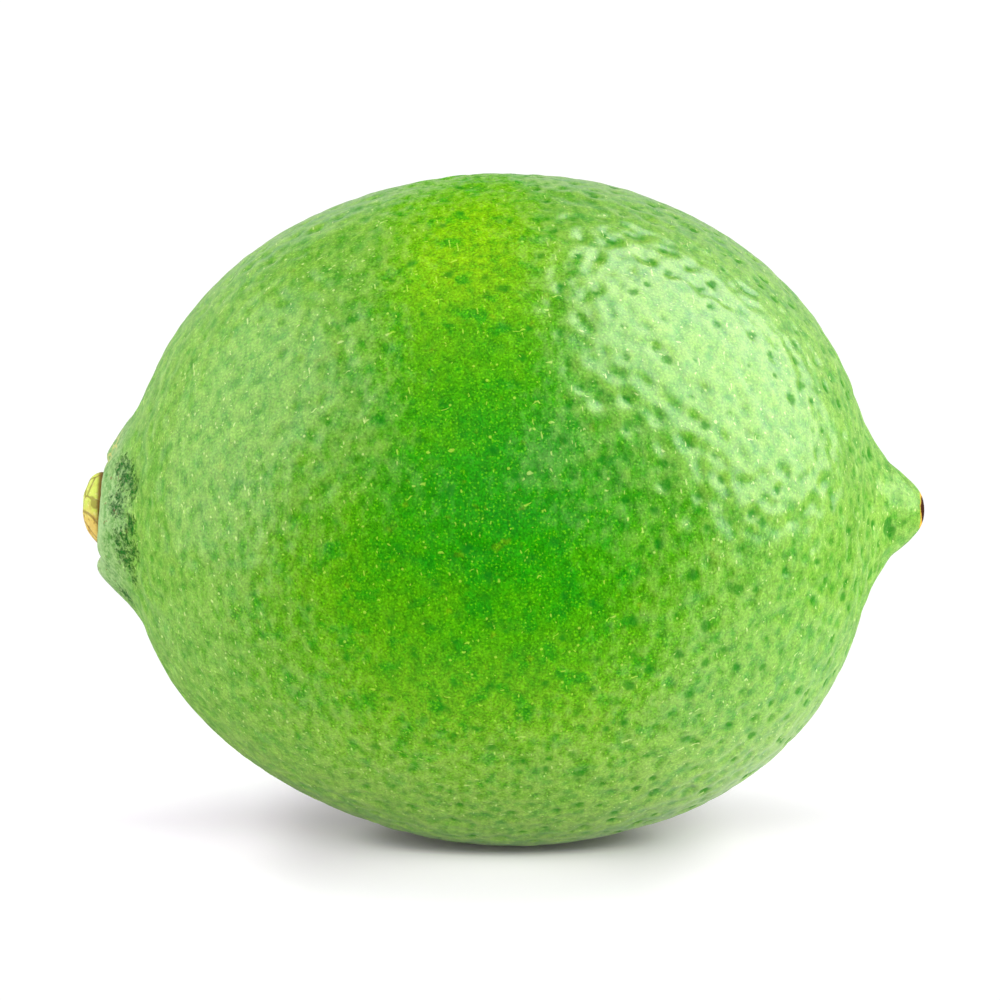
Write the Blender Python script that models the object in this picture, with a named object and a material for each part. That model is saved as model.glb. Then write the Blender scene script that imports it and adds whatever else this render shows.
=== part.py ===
"""A Persian lime lying on its side, with the button of its stem still in the collar.

The fruit's axis runs along X, with the stem end at -X and the style end at +X.  The origin
is on the surface that the lime rests on, under the middle of its bounding box.
"""

from math import atan2, cos, exp, hypot, pi, radians, sin, tau

import bmesh
import bpy
from mathutils import Vector
from mathutils.geometry import interpolate_bezier

MM = 0.001

# Driving dimensions of the whole lime.
GIRTH_RADIUS = 25.0 * MM
FRUIT_LENGTH = 61.4 * MM
PRESSED_FLAT = 0.35 * MM

# The button, which stands a little proud of the collar round it.
BUTTON_RADIUS = 2.9 * MM
BUTTON_PROUD = 1.0 * MM
BUTTON_GAP = 0.3 * MM

# How many times round the two turned shapes are divided, and how near two corners on the
# rim of the flat come before they are made one.
FRUIT_SEGMENTS = 72
BUTTON_SEGMENTS = 50
RIM_WELD = 0.08 * MM

# Half outline of the fruit, as Bezier spans that each carry on from the one before.  A row
# holds the number of steps, the two handles and the end.  Places are (share of the fruit's
# length, share of its girth radius).
SOCKET_DEPTH = 0.022
SOCKET_WIDTH = 0.128
FRUIT_START = (SOCKET_DEPTH, 0.0)
FRUIT_OUTLINE = (
    # floor of the stem socket
    (2, (SOCKET_DEPTH, 0.03), (SOCKET_DEPTH, 0.06), (SOCKET_DEPTH, 0.09)),
    # wall of the socket, up to the lip of the collar
    (4, (SOCKET_DEPTH, SOCKET_WIDTH), (0.0, SOCKET_WIDTH), (0.0, 0.164)),
    # collar and neck
    (7, (0.0, 0.207), (0.045, 0.266), (0.060, 0.359)),
    # body, from the neck to the girth
    (20, (0.131, 0.806), (0.335, 1.0), (0.500, 1.0)),
    # body, from the girth to the waist of the nipple
    (19, (0.615, 1.0), (0.846, 0.877), (0.917, 0.345)),
    # nipple, and its blunt tip, where the scar of the style is
    (7, (0.940, 0.170), (0.966, 0.130), (0.981, 0.096)),
    (5, (0.992, 0.068), (1.0, 0.045), (1.0, 0.0)),
)

# The middle of the fruit isn't quite straight: share of the length, rise above the axis.
MIDDLE_RISE = (
    (0.0, -0.1 * MM),
    (0.22, 0.2 * MM),
    (0.55, 0.0),
    (0.91, -0.45 * MM),
    (0.96, 0.0),
)

# Half outline of the button, in the same way: share of its height from the foot, share of
# its radius.
BUTTON_START = (0.0, 0.0)
BUTTON_OUTLINE = (
    # foot
    (3, (0.0, 0.2), (0.0, 0.4), (0.0, 0.6)),
    # bulging side
    (5, (0.0, 0.85), (0.15, 1.0), (0.40, 1.0)),
    # shoulder, up to the ring round the broken stem
    (6, (0.70, 1.0), (0.96, 0.82), (0.96, 0.56)),
    # furrow and broken stem
    (3, (0.96, 0.46), (0.88, 0.46), (0.90, 0.36)),
    (3, (0.92, 0.28), (1.0, 0.20), (1.0, 0.0)),
)

# The collar's lobes.  Angles go round the axis from the top, towards -Y.
COLLAR_REACH = 0.028
COLLAR_FURROWS = (18, 138, 205, 288)
FURROW_WIDTH = radians(11)
FURROW_DEPTH = 0.40 * MM
LONG_LOBE_ANGLE = radians(185)
LOBE_SETBACK = 0.7 * MM

# Very slight lobes of the whole body, as shares of its radius.
BODY_LOBE_2 = 0.005
BODY_LOBE_4 = 0.004

CALYX_LOBES = 5
CALYX_NOTCH = 0.07


def start_empty():
    for obj in list(bpy.data.objects):
        bpy.data.objects.remove(obj)


def paint(obj, name, colour, roughness):
    material = bpy.data.materials.new(name)
    material.use_nodes = True
    shader = material.node_tree.nodes["Principled BSDF"]
    shader.inputs["Base Color"].default_value = (*colour, 1.0)
    shader.inputs["Roughness"].default_value = roughness
    shader.inputs["Metallic"].default_value = 0.0
    obj.data.materials.append(material)


def outline_points(start, spans):
    """Points along a row of Bezier spans, from start to the end of the last one."""
    made = [Vector(start)]
    for steps, handle, other, end in spans:
        ends = [Vector(place) for place in (handle, other, end)]
        made += interpolate_bezier(made[-1], *ends, steps + 1)[1:]
    return made


def turned(outline, segments):
    """A closed shape made by turning (along, out) points about the X axis."""
    shape = bmesh.new()
    corners = [shape.verts.new((along, 0.0, out)) for along, out in outline]
    edges = [shape.edges.new(pair) for pair in zip(corners, corners[1:])]
    bmesh.ops.spin(
        shape,
        geom=corners + edges,
        axis=(1, 0, 0),
        cent=(0, 0, 0),
        angle=tau,
        steps=segments,
        use_merge=True,
    )
    bmesh.ops.remove_doubles(shape, verts=shape.verts, dist=0.001 * MM)
    bmesh.ops.recalc_face_normals(shape, faces=shape.faces)
    return shape


def finished(shape, name):
    mesh = bpy.data.meshes.new(name)
    shape.to_mesh(mesh)
    shape.free()
    mesh.shade_smooth()
    obj = bpy.data.objects.new(name, mesh)
    bpy.context.scene.collection.objects.link(obj)
    return obj


def rise_at(share):
    """How far the fruit's middle lies above its axis, eased from one given point to the next."""
    for (start, low), (end, high) in zip(MIDDLE_RISE, MIDDLE_RISE[1:]):
        if share <= end:
            way = max(0.0, (share - start) / (end - start))
            return low + (high - low) * way * way * (3 - 2 * way)
    return MIDDLE_RISE[-1][1]


def angle_apart(one, other):
    return abs((one - other + pi) % tau - pi)


def collar_pull(angle):
    """How far the collar's lip draws back at this angle, between its lobes and in them."""
    back = LOBE_SETBACK * (1 - cos(angle - LONG_LOBE_ANGLE)) / 2
    for furrow in COLLAR_FURROWS:
        off = angle_apart(angle, radians(furrow)) / FURROW_WIDTH
        back += FURROW_DEPTH * exp(-off * off)
    return back


def grow_uneven(shape):
    """Gives the turned fruit the uneven form of a grown one: lobes, furrows, a bent middle."""
    socket_edge = SOCKET_WIDTH * GIRTH_RADIUS
    for corner in shape.verts:
        along, away, up = corner.co
        out = hypot(away, up)
        angle = atan2(-away, up)
        share = along / FRUIT_LENGTH
        body = BODY_LOBE_2 * sin(2 * angle) * sin(pi * share)
        body += BODY_LOBE_4 * sin(4 * angle) * sin(tau * share)
        if out > socket_edge:
            near_lip = exp(-((share / COLLAR_REACH) ** 2))
            corner.co.x += collar_pull(angle) * near_lip
        corner.co.y *= 1 + body
        corner.co.z *= 1 + body
        corner.co.z += rise_at(share)


def press_flat(shape, height):
    """Cuts the small flat that the lime rests on, at this height, and closes it with a fan."""
    cut = bmesh.ops.bisect_plane(
        shape,
        geom=shape.verts[:] + shape.edges[:] + shape.faces[:],
        plane_co=(0, 0, height),
        plane_no=(0, 0, -1),
        clear_outer=True,
    )
    rim = [part for part in cut["geom_cut"] if isinstance(part, bmesh.types.BMVert)]
    bmesh.ops.remove_doubles(shape, verts=rim, dist=RIM_WELD)
    open_edges = [edge for edge in shape.edges if edge.is_boundary]
    flat = bmesh.ops.edgeloop_fill(shape, edges=open_edges)["faces"]
    bmesh.ops.poke(shape, faces=flat)
    bmesh.ops.recalc_face_normals(shape, faces=shape.faces)


def build_fruit(stem_end, axis_height):
    outline = [
        (along * FRUIT_LENGTH, out * GIRTH_RADIUS)
        for along, out in outline_points(FRUIT_START, FRUIT_OUTLINE)
    ]
    shape = turned(outline, FRUIT_SEGMENTS)
    grow_uneven(shape)
    press_flat(shape, -axis_height)
    fruit = finished(shape, "fruit")
    fruit.location = (stem_end, 0, axis_height)
    paint(fruit, "rind", (0.10, 0.42, 0.02), 0.35)


def build_button(stem_end, axis_height):
    foot = SOCKET_DEPTH * FRUIT_LENGTH - BUTTON_GAP
    height = foot + BUTTON_PROUD
    outline = [
        (foot - along * height, out * BUTTON_RADIUS)
        for along, out in outline_points(BUTTON_START, BUTTON_OUTLINE)
    ]
    shape = turned(outline, BUTTON_SEGMENTS)
    for corner in shape.verts:
        angle = atan2(-corner.co.y, corner.co.z)
        out = hypot(corner.co.y, corner.co.z) / BUTTON_RADIUS
        notch = CALYX_NOTCH * out * (1 - cos(CALYX_LOBES * angle)) / 2
        corner.co.y *= 1 - notch
        corner.co.z *= 1 - notch
    button = finished(shape, "stem_button")
    button.location = (stem_end, 0, axis_height + rise_at(0.0))
    paint(button, "calyx", (0.62, 0.62, 0.16), 0.6)


def main():
    start_empty()
    stem_end = -(FRUIT_LENGTH - BUTTON_PROUD) / 2
    axis_height = GIRTH_RADIUS - PRESSED_FLAT
    build_fruit(stem_end, axis_height)
    build_button(stem_end, axis_height)


main()
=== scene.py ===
"""A fresh Persian lime lying on a white board between two softboxes."""

from math import cos, exp, hypot, pi, radians, sin, sqrt, tau
from random import Random

import bmesh
import bpy
import numpy as np
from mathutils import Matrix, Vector, noise
from mathutils.geometry import interpolate_bezier
from mathutils.kdtree import KDTree


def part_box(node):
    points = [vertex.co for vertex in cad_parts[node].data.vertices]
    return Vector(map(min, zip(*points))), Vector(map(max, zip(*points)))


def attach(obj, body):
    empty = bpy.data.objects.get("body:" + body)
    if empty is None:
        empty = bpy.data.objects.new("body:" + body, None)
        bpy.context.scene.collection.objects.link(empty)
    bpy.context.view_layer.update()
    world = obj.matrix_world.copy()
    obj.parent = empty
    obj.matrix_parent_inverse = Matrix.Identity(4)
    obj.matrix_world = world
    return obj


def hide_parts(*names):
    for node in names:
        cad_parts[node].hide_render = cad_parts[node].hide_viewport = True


MM = 0.001

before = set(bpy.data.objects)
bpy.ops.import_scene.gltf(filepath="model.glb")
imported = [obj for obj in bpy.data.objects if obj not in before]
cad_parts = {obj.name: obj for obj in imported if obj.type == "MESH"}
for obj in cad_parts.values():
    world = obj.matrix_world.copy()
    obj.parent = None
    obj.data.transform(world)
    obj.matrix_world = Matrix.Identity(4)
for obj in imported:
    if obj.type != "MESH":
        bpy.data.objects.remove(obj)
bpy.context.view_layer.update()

# Where the fruit lies, from the solid that the skin stands for.
FRUIT_LOW, FRUIT_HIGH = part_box("fruit")
STEM_END = FRUIT_LOW.x
FRUIT_LENGTH = FRUIT_HIGH.x - FRUIT_LOW.x
GIRTH_RADIUS = (FRUIT_HIGH.y - FRUIT_LOW.y) / 2
PRESSED_FLAT = 0.35 * MM
AXIS_HEIGHT = GIRTH_RADIUS - PRESSED_FLAT
BUTTON_LOW, BUTTON_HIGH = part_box("stem_button")

# Half outline of the fruit: share of its length, share of its girth radius.
SOCKET_DEPTH = 0.022
SOCKET_WIDTH = 0.128
FRUIT_START = (SOCKET_DEPTH, 0.0)
FRUIT_OUTLINE = (
    # floor and wall of the stem socket
    ((SOCKET_DEPTH, 0.03), (SOCKET_DEPTH, 0.06), (SOCKET_DEPTH, 0.09)),
    ((SOCKET_DEPTH, SOCKET_WIDTH), (0.0, SOCKET_WIDTH), (0.0, 0.164)),
    # collar and neck
    ((0.0, 0.207), (0.045, 0.266), (0.060, 0.359)),
    # body
    ((0.131, 0.806), (0.335, 1.0), (0.500, 1.0)),
    ((0.615, 1.0), (0.846, 0.877), (0.917, 0.345)),
    # nipple, and its blunt tip under the scar of the style
    ((0.940, 0.170), (0.966, 0.130), (0.981, 0.096)),
    ((0.992, 0.068), (1.0, 0.045), (1.0, 0.0)),
)
OUTLINE_STEPS = 80

# How far the middle of the girth stands off the axis: share of the length, rise.
MIDDLE_RISE = (
    (0.0, -0.1 * MM),
    (0.22, 0.2 * MM),
    (0.55, 0.0),
    (0.91, -0.45 * MM),
    (0.96, 0.0),
)

# The collar's lip is drawn back in furrows between its lobes, at these degrees round the
# axis, and more on one side than on the other.  The reach is a share of the length.
COLLAR_REACH = 0.028
COLLAR_FURROWS = (18, 138, 205, 288)
FURROW_WIDTH = radians(11)
FURROW_DEPTH = 0.40 * MM
LONG_LOBE_ANGLE = radians(185)
LOBE_SETBACK = 0.7 * MM

# The girth isn't quite round: shares of its radius, for two lobes and for four.
BODY_LOBE_2 = 0.005
BODY_LOBE_4 = 0.004

# The skin's mesh is a cube's faces divided this many times and rounded out, and the
# button's is turned in this many steps.
SKIN_CUTS = 127
BUTTON_STEPS = 160

# Dents over oil glands: the open ones, and the shallow ones that cover the whole skin.
PORES = 1900
PORE_RADIUS = (0.32 * MM, 0.56 * MM)
PORE_DEPTH = (0.07 * MM, 0.22 * MM)
DIMPLES = 6200
DIMPLE_RADIUS = (0.40 * MM, 0.60 * MM)
DIMPLE_DEPTH = (0.04 * MM, 0.17 * MM)

# Pitted patches behind the collar: angle round the axis from the top towards -Y, distance
# along from the stem, radius, depth.
PITS = (
    (50, 2.0 * MM, 1.1 * MM, 0.08 * MM),
    (60, 2.4 * MM, 1.5 * MM, 0.14 * MM),
    (70, 3.0 * MM, 1.3 * MM, 0.16 * MM),
    (77, 1.7 * MM, 1.3 * MM, 0.10 * MM),
    (88, 2.9 * MM, 1.0 * MM, 0.10 * MM),
    (99, 2.0 * MM, 1.2 * MM, 0.10 * MM),
    (104, 3.1 * MM, 1.1 * MM, 0.14 * MM),
    (112, 2.4 * MM, 1.3 * MM, 0.16 * MM),
    (122, 3.0 * MM, 0.9 * MM, 0.10 * MM),
    (150, 2.2 * MM, 1.0 * MM, 0.14 * MM),
)

# The dimple beside the nipple: angle, and distance back from the tip.
TIP_DIMPLE = ((97, 2.9 * MM), (104, 2.8 * MM), (110, 2.5 * MM))
TIP_DIMPLE_RADIUS = (0.50 * MM, 0.60 * MM)
TIP_DIMPLE_DEPTH = (0.22 * MM, 0.26 * MM)

# A dent is felt this many of its radii from its centre.
DENT_REACH = 2.2


# ---------------------------------------------------------------- materials


class Value:
    """A socket in a finish.  Arithmetic on it adds Math nodes."""

    def __init__(self, finish, socket):
        self.finish = finish
        self.socket = socket

    def math(self, operation, *values):
        settings = {"operation": operation}
        return self.finish.node("ShaderNodeMath", settings, dict(enumerate(values)))

    def __add__(self, other):
        return self.math("ADD", self, other)

    def __sub__(self, other):
        return self.math("SUBTRACT", self, other)

    def __rsub__(self, other):
        return self.math("SUBTRACT", other, self)

    def __mul__(self, other):
        return self.math("MULTIPLY", self, other)

    def least(self, other):
        return self.math("MINIMUM", self, other)

    __radd__ = __add__
    __rmul__ = __mul__


class Finish:
    """A material with one Principled shader, built up node by node."""

    def __init__(self, name, **settings):
        self.material = bpy.data.materials.new(name)
        self.material.use_nodes = True
        self.tree = self.material.node_tree
        self.shader = self.tree.nodes["Principled BSDF"]
        for socket, value in settings.items():
            self.shader.inputs[socket.replace("_", " ")].default_value = value
        self.place = self.node("ShaderNodeTexCoord", output="Object")

    def node(self, kind, settings=(), inputs=(), output=0):
        made = self.tree.nodes.new(kind)
        for name, value in dict(settings).items():
            setattr(made, name, value)
        for name, value in dict(inputs).items():
            if isinstance(value, Value):
                self.tree.links.new(value.socket, made.inputs[name])
            else:
                made.inputs[name].default_value = value
        return Value(self, made.outputs[output])

    def set(self, socket, value):
        self.tree.links.new(value.socket, self.shader.inputs[socket])

    def attribute(self, name):
        return self.node("ShaderNodeAttribute", {"attribute_name": name}, output="Fac")

    def axis(self, name):
        """The surface's X, Y or Z, in metres."""
        return self.node("ShaderNodeSeparateXYZ", (), {"Vector": self.place}, name)

    def vector(self, operation, *values, output="Vector"):
        settings = {"operation": operation}
        return self.node("ShaderNodeVectorMath", settings, dict(enumerate(values)), output)

    def noise(self, size, detail=2.0, rough=0.5, place=None):
        """Cloudy noise from 0 to 1 whose lumps are about this size in metres."""
        inputs = {
            "Vector": place or self.place,
            "Scale": 1 / size,
            "Detail": detail,
            "Roughness": rough,
        }
        return self.node("ShaderNodeTexNoise", {}, inputs, "Fac")

    def cells(self, size, feature="F1", place=None):
        """Distance in a pattern of cells of about this size, as a share of it."""
        inputs = {"Vector": place or self.place, "Scale": 1 / size}
        return self.node("ShaderNodeTexVoronoi", {"feature": feature}, inputs, "Distance")

    def step(self, value, low, high):
        """0 where the value is short of low, 1 where it is past high, eased between."""
        inputs = {"Value": value, "From Min": low, "From Max": high}
        return self.node("ShaderNodeMapRange", {"interpolation_type": "SMOOTHSTEP"}, inputs)

    def blend(self, under, over, share):
        inputs = {0: share, 6: under, 7: over}
        return self.node("ShaderNodeMix", {"data_type": "RGBA"}, inputs, 2)

    def moved(self, shift, turn=(0, 0, 0), scale=(1, 1, 1)):
        """The place on the surface, shifted, turned and scaled for a pattern of its own."""
        inputs = {"Vector": self.place, "Location": shift, "Rotation": turn, "Scale": scale}
        return self.node("ShaderNodeMapping", {}, inputs)

    def shaded(self, tint, share):
        """A colour made lighter or darker by a share."""
        inputs = {0: tint, "Scale": share}
        return self.node("ShaderNodeVectorMath", {"operation": "SCALE"}, inputs)

    def distance(self, spot, place=None):
        """How far the surface is from a spot, in metres."""
        return self.vector("DISTANCE", place or self.place, spot, output="Value")

    def within(self, middle, reach):
        """How far out the surface is in an ellipsoid: 0 at its middle, 1 where it ends."""
        scale = [1 / size for size in reach]
        place = self.moved([-a * b for a, b in zip(middle, scale)], scale=scale)
        return self.vector("LENGTH", place, output="Value")

    def scratches(self, shift, turn, scale):
        """1 on short scratches, each one a stretched cell's middle bent by noise."""
        bend = self.noise(0.9 * MM, 1, 0.5, place=self.moved(shift))
        bent = self.vector("ADD", self.moved(shift, turn, scale), bend * 1.6)
        return self.step(self.cells(1.0, place=bent), 0.13, 0.08)

    def bump(self, height, depth, under=None):
        inputs = {"Height": height, "Distance": depth, "Strength": 1.0}
        if under:
            inputs["Normal"] = under
        return self.node("ShaderNodeBump", {}, inputs)


def colour(red, green, blue):
    return (red, green, blue, 1.0)


STEM_SPOT = (STEM_END, 0.0, AXIS_HEIGHT)
STYLE_SPOT = (STEM_END + FRUIT_LENGTH, 0.0, AXIS_HEIGHT)
SCAR_CORE = (STYLE_SPOT[0] - 0.1 * MM, -0.4 * MM, AXIS_HEIGHT + 0.1 * MM)
DRY_SPOT = (STEM_END + 1.3 * MM, -1.2 * MM, AXIS_HEIGHT + 4.4 * MM)

# The rind.  A clear colour is for the cheek's glossy middle; a paler one, carrying painted
# reflection haze, is for the rest.
CHEEK_GREEN = colour(0.020, 0.310, 0.001)
BODY_GREEN = colour(0.140, 0.385, 0.004)
TOP_YELLOW = colour(0.235, 0.480, 0.002)
UNDER_YELLOW = colour(0.235, 0.430, 0.030)
EMERALD = colour(0.008, 0.270, 0.004)
YELLOW_GREEN = colour(0.200, 0.470, 0.004)
RUST = colour(0.240, 0.300, 0.006)
# Painted reflection haze for both ends.
END_PAINTED_REFLECTION = colour(0.240, 0.440, 0.080)
# Painted shade for the hollows of the leathery relief.
HOLLOW_PAINTED_SHADE = colour(0.012, 0.290, 0.004)
# Painted reflection: pale haze standing in for the sheen of the bright studio on the skin.
PAINTED_REFLECTION_HAZE = colour(0.285, 0.480, 0.110)
# Painted shade for the pressed dimples.
DENT_PAINTED_SHADE = colour(0.030, 0.270, 0.006)
CLEAR_GRAIN = colour(0.190, 0.640, 0.004)
# Grain colour with painted reflection haze over it.
GRAIN_IN_PAINTED_REFLECTION = colour(0.340, 0.620, 0.090)
STREAK_PALE = colour(0.360, 0.580, 0.190)
# Partly the glands' own darker green, partly painted shade in the dents.
GLAND_GREEN_AND_SHADE = colour(0.006, 0.190, 0.008)
CLEAR_FLECK = colour(0.440, 0.720, 0.060)
# Fleck colour with painted reflection haze over it.
FLECK_IN_PAINTED_REFLECTION = colour(0.600, 0.780, 0.260)
COLLAR_DARK = colour(0.090, 0.270, 0.050)
COLLAR_PALE = colour(0.340, 0.530, 0.210)
# Painted highlight for the collar's rounded lip.
LIP_PAINTED_HIGHLIGHT = colour(0.430, 0.620, 0.290)
# Painted shade for the pits behind the collar.
PIT_PAINTED_SHADE = colour(0.004, 0.170, 0.014)
SPOT_BROWN = colour(0.200, 0.100, 0.030)
DRY_STRAW = colour(0.620, 0.560, 0.160)
SCAR_ORANGE = colour(0.700, 0.400, 0.050)
SCAR_BROWN = colour(0.040, 0.010, 0.004)

# The button.
BUTTON_YELLOW = colour(0.58, 0.68, 0.10)
BUTTON_ORANGE = colour(0.74, 0.52, 0.12)
BUTTON_STAIN = colour(0.30, 0.13, 0.02)
BUTTON_PALE = colour(0.80, 0.74, 0.30)
BUTTON_CRACK = colour(0.16, 0.07, 0.012)
BUTTON_RIM = colour(0.17, 0.07, 0.010)


def ground(skin, wander):
    """Deep green round one cheek, and yellower on the top and underneath."""
    cheek = skin.distance((0, -GIRTH_RADIUS, AXIS_HEIGHT + 4 * MM)) + 9 * MM * wander
    tint = skin.blend(CHEEK_GREEN, BODY_GREEN, skin.step(cheek, 3 * MM, 19 * MM))
    top = skin.distance((-2.4 * MM, -13 * MM, AXIS_HEIGHT + 21 * MM)) + 8 * MM * wander
    tint = skin.blend(tint, TOP_YELLOW, skin.step(top, 9.5 * MM, 2 * MM) * 0.7)
    height = skin.axis("Z") + 8 * MM * wander
    under = skin.step(height, AXIS_HEIGHT - 5 * MM, AXIS_HEIGHT - 21 * MM)
    return skin.blend(tint, UNDER_YELLOW, under * 0.85)


def painted_reflection_share(skin, wander, leather):
    """Where painted reflection haze goes: 0 in the cheek's middle and in a strip up from it,
    which are left clear, and 1 elsewhere.
    """
    spot = (-2.5 * MM, -GIRTH_RADIUS, AXIS_HEIGHT - 3.5 * MM)
    middle = skin.within(spot, (14.5 * MM, 45 * MM, 12 * MM))
    spot = (-2.5 * MM, -16 * MM, AXIS_HEIGHT + 14 * MM)
    strip = skin.within(spot, (6.5 * MM, 30 * MM, 15 * MM))
    painted_reflection = middle.least(strip) + 0.7 * wander + 1.3 * (leather - 0.5)
    return skin.step(painted_reflection, 0.60, 1.40)


def patched(skin, tint, painted_reflection):
    """Emerald, yellower and rusty patches."""
    patch = skin.step(skin.noise(2.0 * MM, 3, 0.65), 0.50, 0.66)
    tint = skin.blend(tint, EMERALD, patch * (0.70 - 0.2 * painted_reflection))
    yellow = skin.noise(3.4 * MM, 3, 0.6, place=skin.moved((0.013, 0.02, 0.03)))
    yellow = skin.step(yellow, 0.50, 0.70)
    tint = skin.blend(tint, YELLOW_GREEN, yellow * (0.18 + 0.30 * painted_reflection))
    rusty = skin.step(skin.noise(1.1 * MM, 2, 0.5), 0.66, 0.76)
    return skin.blend(tint, RUST, rusty * 0.35)


def leathered(skin, tint, leather, painted_reflection):
    """Relief drawn out round the fruit: painted shade, darker and emerald, in its hollows and
    dents, and a painted highlight with reflection haze on its rises.
    """
    hollow = skin.step(skin.attribute("dent"), 0.25, 0.85)
    rise = skin.step(leather - 0.06 * hollow, 0.28, 0.64)
    # Painted shade in the hollows; painted highlight and reflection haze on the rises.
    low = skin.blend(skin.shaded(tint, 0.86), HOLLOW_PAINTED_SHADE, 0.36)
    haze = skin.blend(skin.shaded(tint, 1.10), PAINTED_REFLECTION_HAZE, 0.33 * painted_reflection)
    tint = skin.blend(low, haze, rise)
    # Painted shade in the pressed dimples.
    return skin.blend(tint, DENT_PAINTED_SHADE, hollow * (0.26 + 0.34 * painted_reflection))


def grained(skin, tint, cloud, dots, painted_reflection):
    """The fine grain of the small glands, paler where painted reflection haze lies over it."""
    tint = skin.shaded(tint, 1 + (1.9 - 0.5 * painted_reflection) * (cloud - 0.5))
    grain = skin.blend(CLEAR_GRAIN, GRAIN_IN_PAINTED_REFLECTION, painted_reflection)
    share = dots * skin.step(cloud, 0.42, 0.62) * (0.70 - 0.20 * painted_reflection)
    return skin.blend(tint, grain, share)


def streaked(skin, tint, ends):
    """Fine pale streaks that run round the fruit near both ends."""
    streak = skin.noise(1.0, 3, 0.6, place=skin.moved((0, 0, 0), scale=(2300, 420, 420)))
    tint = skin.shaded(tint, 1 + 0.7 * ends * (streak - 0.5))
    return skin.blend(tint, STREAK_PALE, ends * skin.step(streak, 0.55, 0.75) * 0.4)


def flecked(skin, tint, painted_reflection):
    """Pale flecks, and short bent scratches in two directions, paler where painted reflection
    haze lies over them.
    """
    speck = skin.step(skin.cells(1.5 * MM), 0.09, 0.05)
    across = skin.scratches((0, 0, 0), (0.5, 0.2, 0.6), (380, 1700, 900))
    down = skin.scratches((0.3, 0, 0), (-0.4, 0.9, -0.5), (1700, 380, 900))
    fleck = skin.blend(CLEAR_FLECK, FLECK_IN_PAINTED_REFLECTION, painted_reflection)
    return skin.blend(tint, fleck, (speck + across + down) * 0.65)


def collared(skin, tint, along, mottle):
    """A greyer collar with a painted highlight on its lip, pits behind it darkened with painted
    shade, and dry flecks on its top.
    """
    near_stem = skin.step(skin.distance(STEM_SPOT), 9.0 * MM, 5.5 * MM)
    greyed = skin.blend(COLLAR_DARK, COLLAR_PALE, skin.step(mottle, 0.36, 0.62))
    tint = skin.blend(tint, greyed, near_stem * 0.8)
    # Painted highlight along the collar's lip.
    lip = skin.step(along, STEM_END + 1.0 * MM, STEM_END + 0.5 * MM)
    tint = skin.blend(tint, LIP_PAINTED_HIGHLIGHT, lip * 0.5)
    pitted = 0.8 * skin.attribute("pit") + 3.4 * (skin.noise(0.36 * MM, 4, 0.75) - 0.5)
    pitted = skin.step(pitted, 0.42, 1.15) * skin.step(skin.attribute("pit"), 0.05, 0.6)
    # Painted shade in the pits.
    tint = skin.blend(tint, PIT_PAINTED_SHADE, pitted * 0.90)
    brown = skin.noise(0.55 * MM, 2, 0.5, place=skin.moved((0.04, 0.02, 0.01)))
    brown = skin.step(brown, 0.66, 0.72)
    tint = skin.blend(tint, SPOT_BROWN, brown * near_stem * 0.7)
    dry = skin.step(skin.distance(DRY_SPOT), 2.4 * MM, 0.8 * MM)
    dry = dry * skin.step(skin.noise(0.45 * MM, 2, 0.6), 0.50, 0.62)
    return skin.blend(tint, DRY_STRAW, dry * 0.8), pitted


def scarred(skin, tint):
    """The scar of the style, dark brown with an orange edge."""
    ragged = 0.8 * MM * (skin.noise(0.55 * MM, 3, 0.65) - 0.5)
    scar = skin.step(skin.distance(STYLE_SPOT) + ragged, 1.58 * MM, 1.36 * MM)
    tint = skin.blend(tint, SCAR_ORANGE, scar)
    core = skin.step(skin.distance(SCAR_CORE) + ragged, 1.10 * MM, 0.80 * MM)
    return skin.blend(tint, SCAR_BROWN, core), scar


def rind():
    """The lime's skin: a matt ground under a waxy coat that is dulled in every hollow."""
    skin = Finish(
        "lime_rind", IOR=1.45, Specular_IOR_Level=0.0, Coat_IOR=1.6, Coat_Roughness=0.29
    )
    along = skin.axis("X")
    wander = skin.noise(6 * MM, 3, 0.6) - 0.5
    leather = skin.noise(1.0, 3, 0.55, place=skin.moved((5, 1, 2), scale=(1500, 980, 980)))
    cloud = skin.noise(0.17 * MM, 2, 0.6)
    dots = skin.step(skin.cells(0.24 * MM), 0.50, 0.15)
    mottle = skin.noise(0.40 * MM, 4, 0.7)
    painted_reflection = painted_reflection_share(skin, wander, leather)
    ends = skin.step(along, 17 * MM, 28 * MM) + 0.8 * skin.step(along, -15 * MM, -26 * MM)

    tint = patched(skin, ground(skin, wander), painted_reflection)
    # Paler, greyer green towards both ends: painted reflection haze.
    tint = skin.blend(tint, END_PAINTED_REFLECTION, ends * 0.55)
    tint = leathered(skin, tint, leather, painted_reflection)
    tint = grained(skin, tint, cloud, dots, painted_reflection)
    tint = streaked(skin, tint, ends)
    # The pores' dark green: partly the glands' own darker tone, partly painted shade in their
    # dents and in the dimple beside the nipple.
    gland = skin.attribute("gland") + 0.9 * (mottle - 0.5) + 0.35 * (cloud - 0.5)
    gland = skin.step(gland, 0.22, 0.72)
    tint = skin.blend(tint, GLAND_GREEN_AND_SHADE, gland * 0.72)
    tint = flecked(skin, tint, painted_reflection)
    tint, pitted = collared(skin, tint, along, mottle)
    tint, scar = scarred(skin, tint)
    skin.set("Base Color", tint)

    skin.set("Roughness", 0.45 + 0.2 * cloud)
    coat = (0.10 + 0.90 * painted_reflection) * (1 - 0.75 * gland) * (1 - 0.9 * pitted)
    skin.set("Coat Weight", coat * (1 - 0.6 * ends) * (1 - 0.7 * scar))
    small = skin.cells(0.95 * MM, "SMOOTH_F1")
    normal = skin.bump(0.9 * small + 1.1 * leather - 0.8 * pitted, 0.21 * MM)
    skin.set("Normal", skin.bump(cloud + 0.6 * dots, 0.020 * MM, normal))
    return skin.material


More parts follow.
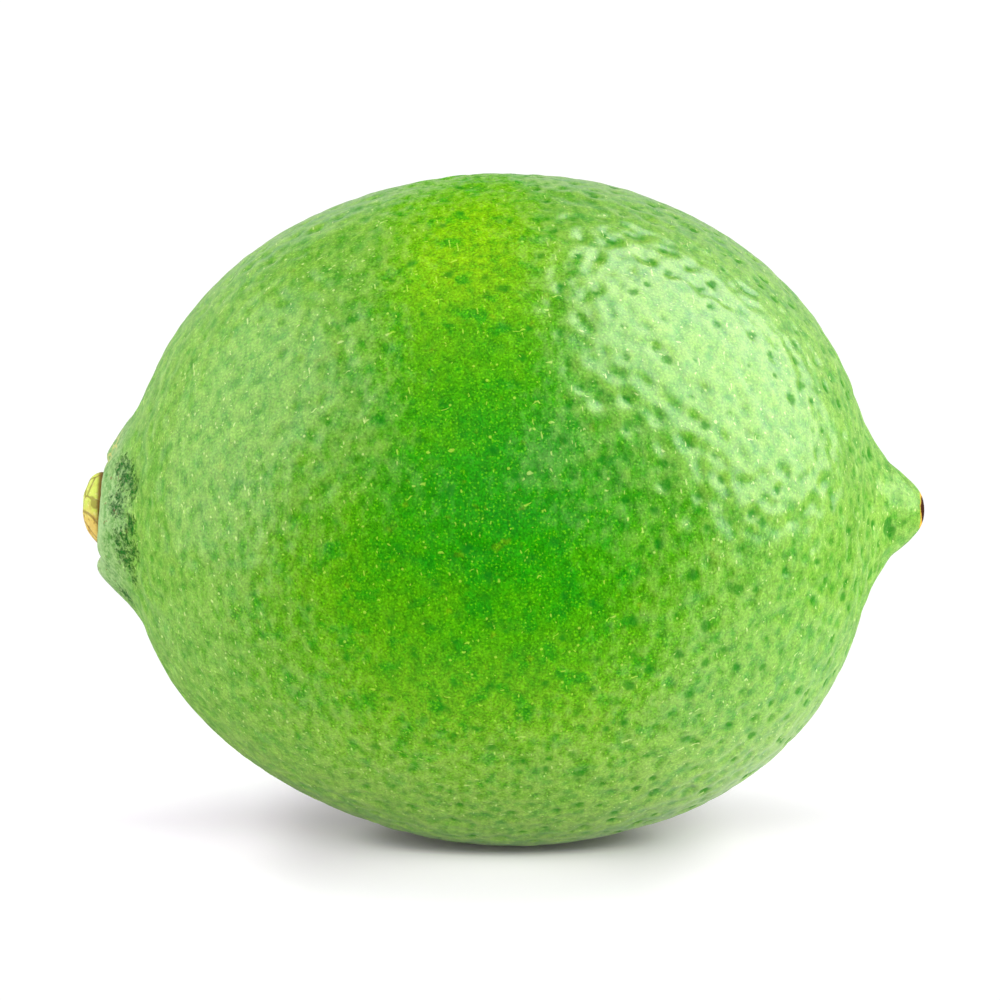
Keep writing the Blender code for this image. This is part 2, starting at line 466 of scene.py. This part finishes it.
def calyx():
    """The dry button: yellow above and orange below, stained, cracked and brown-rimmed."""
    dry = Finish("calyx", IOR=1.45, Specular_IOR_Level=0.3)
    height = dry.axis("Z") + 1.8 * MM * (dry.noise(1.3 * MM, 2, 0.5) - 0.5)
    lower = dry.step(height, AXIS_HEIGHT + 0.9 * MM, AXIS_HEIGHT - 0.9 * MM)
    tint = dry.blend(BUTTON_YELLOW, BUTTON_ORANGE, lower)
    stain = dry.step(dry.noise(0.8 * MM, 3, 0.6), 0.50, 0.66)
    tint = dry.blend(tint, BUTTON_STAIN, stain * (0.25 + 0.45 * lower))
    pale = dry.step(dry.noise(0.35 * MM, 2, 0.6, place=dry.moved((0.02, 0, 0))), 0.55, 0.70)
    tint = dry.blend(tint, BUTTON_PALE, pale * 0.5)
    crack = dry.step(dry.cells(1.9 * MM, "DISTANCE_TO_EDGE"), 0.05, 0.015)
    tint = dry.blend(tint, BUTTON_CRACK, crack * 0.6)
    rim = dry.step(dry.attribute("rim"), 0.50, 0.66)
    tint = dry.blend(tint, BUTTON_RIM, rim * 0.9)
    dry.set("Base Color", tint)
    dry.set("Roughness", 0.5 + 0.25 * dry.noise(0.6 * MM))
    rough = dry.noise(0.35 * MM, 3, 0.6) + 0.5 * dry.step(crack, 1, 0)
    dry.set("Normal", dry.bump(rough, 0.07 * MM))
    return dry.material


# ---------------------------------------------------------------- shapes


def traced_outline(start, spans):
    """The outline's (along, out) points, as shares, at even steps along its whole length."""
    made = [Vector(start)]
    for span in spans:
        made += interpolate_bezier(made[-1], *map(Vector, span), OUTLINE_STEPS + 1)[1:]
    along = np.array([point.x for point in made]) * FRUIT_LENGTH
    out = np.array([point.y for point in made]) * GIRTH_RADIUS
    run = np.concatenate([[0.0], np.cumsum(np.hypot(np.diff(along), np.diff(out)))])
    return run / run[-1], along, out


WAY, ALONG, OUT = traced_outline(FRUIT_START, FRUIT_OUTLINE)
LIP = 2 * OUTLINE_STEPS


def eased_rise(share):
    """How far the middle of the girth stands off the axis, at this share of the length."""
    rise = np.full(share.shape, MIDDLE_RISE[-1][1])
    for (start, low), (end, high) in reversed(list(zip(MIDDLE_RISE, MIDDLE_RISE[1:]))):
        way = np.clip((share - start) / (end - start), 0, 1)
        eased = low + (high - low) * way * way * (3 - 2 * way)
        rise = np.where(share <= end, eased, rise)
    return rise


def collar_pull(angle):
    """How far the collar's lip draws back at this angle, between its lobes and in them."""
    back = LOBE_SETBACK * (1 - np.cos(angle - LONG_LOBE_ANGLE)) / 2
    for furrow in COLLAR_FURROWS:
        off = np.abs((angle - radians(furrow) + pi) % tau - pi) / FURROW_WIDTH
        back = back + FURROW_DEPTH * np.exp(-off * off)
    return back


def skin_points(spots):
    """Where directions from the middle of a ball meet the lime's skin once it is wrapped."""
    way = np.arccos(np.clip(-spots[:, 0], -1, 1)) / pi
    angle = np.arctan2(-spots[:, 1], spots[:, 2])
    along = np.interp(way, WAY, ALONG)
    out = np.interp(way, WAY, OUT)
    share = along / FRUIT_LENGTH
    body = 1 + BODY_LOBE_2 * np.sin(2 * angle) * np.sin(pi * share)
    body = body + BODY_LOBE_4 * np.sin(4 * angle) * np.sin(tau * share)
    lip = np.where(out > SOCKET_WIDTH * GIRTH_RADIUS, np.exp(-((share / COLLAR_REACH) ** 2)), 0)
    x = STEM_END + along + collar_pull(angle) * lip
    y = -out * body * np.sin(angle)
    z = out * body * np.cos(angle) + AXIS_HEIGHT + eased_rise(share)
    return np.stack([x, y, z], axis=1)


def spread(count, seed):
    """Directions spread evenly over a ball in a spiral, each nudged a little."""
    draw = Random(seed)
    gap = sqrt(4 * pi / count)
    made = []
    for n in range(count):
        height = 1 - (2 * n + 1) / count
        turn = n * pi * (3 - sqrt(5))
        ring = sqrt(1 - height * height)
        spot = Vector((height, ring * cos(turn), ring * sin(turn)))
        spot += Vector([draw.gauss(0, 0.27 * gap) for _ in range(3)])
        made.append(spot.normalized())
    return np.array(made)


def read(mesh, name):
    """The mesh's vertex normals, or its vertices' places."""
    values = np.empty(len(mesh.vertices) * 3)
    if name == "normal":
        mesh.vertex_normals.foreach_get("vector", values)
    else:
        mesh.vertices.foreach_get("co", values)
    return values.reshape(-1, 3)


def mark(mesh, name, values):
    mesh.attributes.new(name, "FLOAT", "POINT").data.foreach_set("value", values)


def press(depth, stain, tree, centres, radii, depths, seed, stains, left):
    """Presses a small round dent at each centre and notes how dark to paint it: painted shade
    in the dent, and over pores also the gland's own darker green.

    Dents are shallower towards the stem, and their painted darkness is this much as dark there.
    """
    draw = Random(seed)
    for centre in centres:
        size = draw.random()
        radius = radii[0] + (radii[1] - radii[0]) * size
        deep = depths[0] + (depths[1] - depths[0]) * draw.random() * (0.4 + 0.6 * size)
        # From 0 towards the stem to 1 towards the nipple.
        right = min(1.0, max(0.0, 0.5 + 0.5 * (centre[0] + 4 * MM) / (16 * MM)))
        deep *= 0.65 + 0.35 * right
        dark = stains * (0.35 + 0.65 * draw.random()) * (left + (1 - left) * right)
        for _, index, off in tree.find_range(centre, DENT_REACH * radius):
            fall = exp(-((off / radius) ** 2))
            depth[index] += deep * fall
            stain[index] = max(stain[index], dark * fall)


def on_skin(angle, along):
    """The skin's place at this angle and this distance along from the collar's lip."""
    way = np.interp(along, ALONG[LIP:], WAY[LIP:])
    turn = radians(angle)
    rim = sin(way * pi)
    return skin_points(np.array([[-cos(way * pi), -rim * sin(turn), rim * cos(turn)]]))[0]


def press_pits(depth, pit, tree):
    """Presses the pitted patches behind the collar and notes where they are."""
    for angle, along, radius, deep in PITS:
        for _, index, off in tree.find_range(on_skin(angle, along), DENT_REACH * radius):
            fall = exp(-((off / radius) ** 2))
            depth[index] += deep * fall
            pit[index] = max(pit[index], fall)


def collar_crease(x, y, z):
    """Fine wrinkles that run out over the collar from the stem, and fade on the body."""
    along = x - STEM_END
    if along > 8 * MM:
        return 0.0
    up = z - AXIS_HEIGHT
    out = hypot(y, up)
    fade = exp(-((along / (4.5 * MM)) ** 2))
    ray = Vector((y / out, up / out, along / (7 * MM)))
    return fade * MM * (0.16 * noise.noise(4.5 * ray) + 0.09 * noise.noise(11 * ray))


def make_skin():
    """The skin: a ball wrapped on the outline, then dented, creased and pressed flat below."""
    shape = bmesh.new()
    bmesh.ops.create_cube(shape, size=2.0)
    bmesh.ops.subdivide_edges(shape, edges=shape.edges, cuts=SKIN_CUTS, use_grid_fill=True)
    mesh = bpy.data.meshes.new("lime_skin")
    shape.to_mesh(mesh)
    shape.free()
    spots = np.tan(read(mesh, "co") * pi / 4)
    spots /= np.linalg.norm(spots, axis=1, keepdims=True)
    points = skin_points(spots)
    mesh.vertices.foreach_set("co", points.ravel())
    mesh.update()
    normals = read(mesh, "normal")

    tree = KDTree(len(points))
    for index, point in enumerate(points):
        tree.insert(point, index)
    tree.balance()
    depth = np.zeros(len(points))
    stain = np.zeros(len(points))
    dent = np.zeros(len(points))
    # Pores note in stain how dark they are painted: partly the glands' own darker green, partly
    # painted shade in their dents.
    pores = skin_points(spread(PORES, 3))
    press(depth, stain, tree, pores, PORE_RADIUS, PORE_DEPTH, seed=5, stains=1.0, left=0.5)
    # Dimples note in dent how much painted shade they get.
    dimples = skin_points(spread(DIMPLES, 7))
    press(depth, dent, tree, dimples, DIMPLE_RADIUS, DIMPLE_DEPTH, seed=9, stains=1.0, left=0.8)
    # The dimple beside the nipple is darkened with painted shade.
    tip = [on_skin(angle, FRUIT_LENGTH - back) for angle, back in TIP_DIMPLE]
    sizes = TIP_DIMPLE_RADIUS, TIP_DIMPLE_DEPTH
    press(depth, stain, tree, tip, *sizes, seed=11, stains=1.6, left=1.0)

    pit = np.zeros(len(points))
    press_pits(depth, pit, tree)

    lumps = np.array([noise.noise(Vector(point) / (5.5 * MM)) for point in points])
    waves = np.array([noise.noise(Vector(point) / (1.9 * MM)) for point in points])
    along = points[:, 0] - STEM_END
    inside = np.hypot(points[:, 1], points[:, 2] - AXIS_HEIGHT) < SOCKET_WIDTH * GIRTH_RADIUS
    calm = np.clip(along / (3 * MM), 0, 1) * np.clip((FRUIT_LENGTH - along) / (2 * MM), 0, 1)
    calm = np.where(inside & (along < 2 * MM), 0, calm)
    creases = np.array([collar_crease(*point) for point in points])
    lift = calm * (0.07 * MM * lumps + 0.025 * MM * waves + creases - depth)
    points = points + normals * lift[:, None]
    points[:, 2] = np.maximum(points[:, 2], FRUIT_LOW.z)
    mesh.vertices.foreach_set("co", points.ravel())

    mark(mesh, "gland", stain * calm)
    mark(mesh, "dent", dent)
    mark(mesh, "pit", pit)
    mesh.update()
    return finished(mesh, rind())


def finished(mesh, material):
    mesh.shade_smooth()
    mesh.materials.append(material)
    piece = bpy.data.objects.new(mesh.name, mesh)
    bpy.context.scene.collection.objects.link(piece)
    return piece


def turned(name, outline, steps):
    """A closed mesh turned about X from an outline that starts and ends on that axis.

    Its faces point inwards until it is mirrored along X.
    """
    turns = [tau * step / steps for step in range(steps)]
    points = [(outline[0].x, 0.0, 0.0)]
    for spot in outline[1:-1]:
        points += [(spot.x, -spot.y * sin(turn), spot.y * cos(turn)) for turn in turns]
    points.append((outline[-1].x, 0.0, 0.0))
    rings = range(1, len(points) - 1, steps)
    faces = []
    for step in range(steps):
        after = (step + 1) % steps
        faces.append((0, rings[0] + step, rings[0] + after))
        for ring, over in zip(rings, rings[1:]):
            faces.append((ring + step, over + step, over + after, ring + after))
        faces.append((rings[-1] + step, len(points) - 1, rings[-1] + after))
    mesh = bpy.data.meshes.new(name)
    mesh.from_pydata(points, [], faces)
    return mesh


def make_button():
    """The dry remains of the calyx: a low dome, fuller above, with five blunt corners."""
    middle = (BUTTON_LOW + BUTTON_HIGH) / 2
    radius = (BUTTON_HIGH.y - BUTTON_LOW.y) / 2
    foot = BUTTON_HIGH.x
    height = foot - BUTTON_LOW.x
    outline = [Vector((0.0, 0.0))]
    for span in (
        ((0.0, 0.3), (0.0, 0.6), (0.0, 0.80)),
        ((0.0, 0.95), (0.12, 1.0), (0.31, 1.0)),
        ((0.56, 1.0), (0.88, 0.80), (0.965, 0.47)),
        ((0.99, 0.33), (1.0, 0.15), (1.0, 0.0)),
    ):
        outline += interpolate_bezier(outline[-1], *map(Vector, span), 17)[1:]
    mesh = turned("calyx_button", outline, BUTTON_STEPS)
    points = read(mesh, "co")
    turn = np.arctan2(points[:, 1], points[:, 2])
    lumps = np.array([noise.noise(Vector(point) * 2.2) for point in points])
    up = points[:, 2]
    rise = points[:, 0] * (1.01 - 0.24 * np.clip(-up, 0, 1) + 0.07 * lumps)
    wide = 1 - 0.03 * (1 - np.cos(5 * turn)) + 0.03 * lumps
    x = foot - np.clip(rise, 0, 1) * height
    points = np.stack([x, points[:, 1] * wide * radius, up * wide * radius + middle.z], axis=1)
    mesh.vertices.foreach_set("co", points.ravel())
    mark(mesh, "rim", 1 - rise)
    mesh.update()
    return finished(mesh, calyx())


# ---------------------------------------------------------------- studio


BLACK = colour(0, 0, 0)
WHITE = colour(1, 1, 1)
BOARD_WHITE = colour(0.83, 0.83, 0.83)
BOARD_NEAR = colour(0.86, 0.72, 0.94)
BOARD_REACH = 75 * MM
BACKDROP_SEEN = 1.05
BACKDROP_LIGHT = 0.05
CAMERA_LENS = 194
CAMERA_DISTANCE = 0.4
CAMERA_ELEVATION = radians(8)
CAMERA_TARGET = Vector((-0.3 * MM, 0.0, AXIS_HEIGHT + 0.75 * MM))


def aim(thing, target):
    thing.rotation_euler = (Vector(target) - thing.location).to_track_quat("-Z", "Y").to_euler()


def towards(azimuth, elevation, distance):
    """A place seen from the lime at this azimuth, from -Y towards +X, and elevation."""
    turn, rise = radians(azimuth), radians(elevation)
    flat = distance * cos(rise)
    return Vector((flat * sin(turn), -flat * cos(turn), AXIS_HEIGHT + distance * sin(rise)))


def softbox(
    name, azimuth, elevation, distance, width, height, radiance, gloss=True, matt=True
):
    """A soft light aimed at the lime.  Its sheen and its matt light can each be left out."""
    lamp = bpy.data.lights.new(name, "AREA")
    lamp.shape = "RECTANGLE"
    lamp.size = width
    lamp.size_y = height
    lamp.energy = radiance * pi * width * height
    made = bpy.data.objects.new(name, lamp)
    bpy.context.scene.collection.objects.link(made)
    made.location = towards(azimuth, elevation, distance)
    aim(made, (0, 0, AXIS_HEIGHT))
    made.visible_camera = False
    made.visible_glossy = gloss
    made.visible_diffuse = matt


def make_disc(name, wide, deep, height, material):
    shape = bmesh.new()
    bmesh.ops.create_circle(shape, cap_ends=True, segments=128, radius=1.0)
    bmesh.ops.scale(shape, verts=shape.verts, vec=(wide, deep, 1))
    bmesh.ops.translate(shape, verts=shape.verts, vec=(0, 0, height))
    mesh = bpy.data.meshes.new(name)
    shape.to_mesh(mesh)
    shape.free()
    disc = finished(mesh, material)
    return disc


def make_board():
    """The white board, and just over it a sheet that only the lime's sheen sees.

    The board glows a little and is tinted against the lime's own green, so its shadow is
    short and grey.
    """
    white = Finish("board_white", Roughness=0.9, Specular_IOR_Level=0.0)
    white.shader.inputs["Emission Strength"].default_value = 1.0
    x = white.axis("X")
    y = white.axis("Y")
    oval = white.moved((0, 0, 0), scale=(1 / 1.5, 1, 1))
    off = white.distance((0, 0, 0), oval)
    before = white.step(white.distance((0, -12 * MM, 0), oval), 12 * MM, 0)
    glow = 0.06 + 0.15 * white.step(y, 8 * MM, -6 * MM) + 0.28 * before
    glow = glow + 0.24 * white.step(x, 9 * MM, 18 * MM)
    glow = glow + 0.15 * white.step(x, -13 * MM, -20 * MM)
    glow = glow * white.step(off, 5.2 * MM, 8.5 * MM)
    white.set("Emission Color", white.blend(BLACK, WHITE, glow))
    near = white.step(off, 34 * MM, 8 * MM)
    white.set("Base Color", white.blend(BOARD_WHITE, BOARD_NEAR, near))
    board = make_disc("board", BOARD_REACH, 48 * MM, 0, white.material)
    board.visible_glossy = False

    shine = Finish("board_shine", Roughness=1.0, Specular_IOR_Level=0.0)
    shine.shader.inputs["Base Color"].default_value = BLACK
    shine.shader.inputs["Emission Strength"].default_value = 1.0
    x = shine.axis("X")
    sides = 0.20 + 1.15 * shine.step(x, 0, 36 * MM) + 0.30 * shine.step(x, -30 * MM, -60 * MM)
    fade = shine.step(shine.axis("Y"), -60 * MM, -20 * MM) * sides
    shine.set("Emission Color", shine.blend(BLACK, WHITE, fade))
    sheet = make_disc("board_shine", BOARD_REACH, BOARD_REACH, 0.05 * MM, shine.material)
    sheet.visible_camera = sheet.visible_diffuse = sheet.visible_shadow = False


def make_world():
    """A white backdrop that is brighter to the camera than the light it gives."""
    world = bpy.data.worlds.new("studio")
    world.use_nodes = True
    tree = world.node_tree
    tree.nodes.clear()
    mix = tree.nodes.new("ShaderNodeMixShader")
    for socket, strength in ((1, BACKDROP_LIGHT), (2, BACKDROP_SEEN)):
        side = tree.nodes.new("ShaderNodeBackground")
        side.inputs["Color"].default_value = WHITE
        side.inputs["Strength"].default_value = strength
        tree.links.new(side.outputs[0], mix.inputs[socket])
    path = tree.nodes.new("ShaderNodeLightPath")
    out = tree.nodes.new("ShaderNodeOutputWorld")
    tree.links.new(path.outputs["Is Camera Ray"], mix.inputs[0])
    tree.links.new(mix.outputs[0], out.inputs["Surface"])
    bpy.context.scene.world = world


def make_lights():
    """A large softbox at each side, and fills.

    Each side is two lights, one for the sheen and one for the matt light.  The numbers are
    azimuth, elevation, distance, width, height and radiance.
    """
    softbox("sheen_right", 91, 38, 0.5, 0.64, 0.72, 4.7, matt=False)
    softbox("sheen_left", -88, 20, 0.5, 0.58, 0.62, 1.6, matt=False)
    softbox("softbox_right", 98, 28, 0.5, 0.70, 0.70, 1.75, gloss=False)
    softbox("softbox_left", -88, 30, 0.5, 0.70, 0.70, 1.8, gloss=False)
    softbox("backdrop", 180, 10, 0.6, 1.2, 0.6, 0.65)
    softbox("front_fill", 0, 20, 0.6, 0.5, 0.5, 2.9, gloss=False)
    softbox("overhead", 0, 89, 0.6, 0.6, 0.6, 1.7, gloss=False)
    softbox("low_fill_right", 75, -12, 0.5, 0.4, 0.25, 6.0, gloss=False)
    softbox("low_fill_left", -75, -12, 0.5, 0.4, 0.25, 1.8, gloss=False)


def make_camera():
    lens = bpy.data.cameras.new("camera")
    lens.sensor_width = 36
    lens.lens = CAMERA_LENS
    lens.clip_start = 0.01
    camera = bpy.data.objects.new("camera", lens)
    bpy.context.scene.collection.objects.link(camera)
    back, up = CAMERA_DISTANCE * cos(CAMERA_ELEVATION), CAMERA_DISTANCE * sin(CAMERA_ELEVATION)
    camera.location = CAMERA_TARGET + Vector((0, -back, up))
    aim(camera, CAMERA_TARGET)
    bpy.context.scene.camera = camera


def make_studio():
    make_world()
    make_board()
    make_lights()
    make_camera()
    bpy.context.scene.view_settings.view_transform = "Standard"


def main():
    make_studio()
    skin = make_skin()
    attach(skin, "root")
    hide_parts("fruit")
    button = make_button()
    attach(button, "root")
    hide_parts("stem_button")


main()
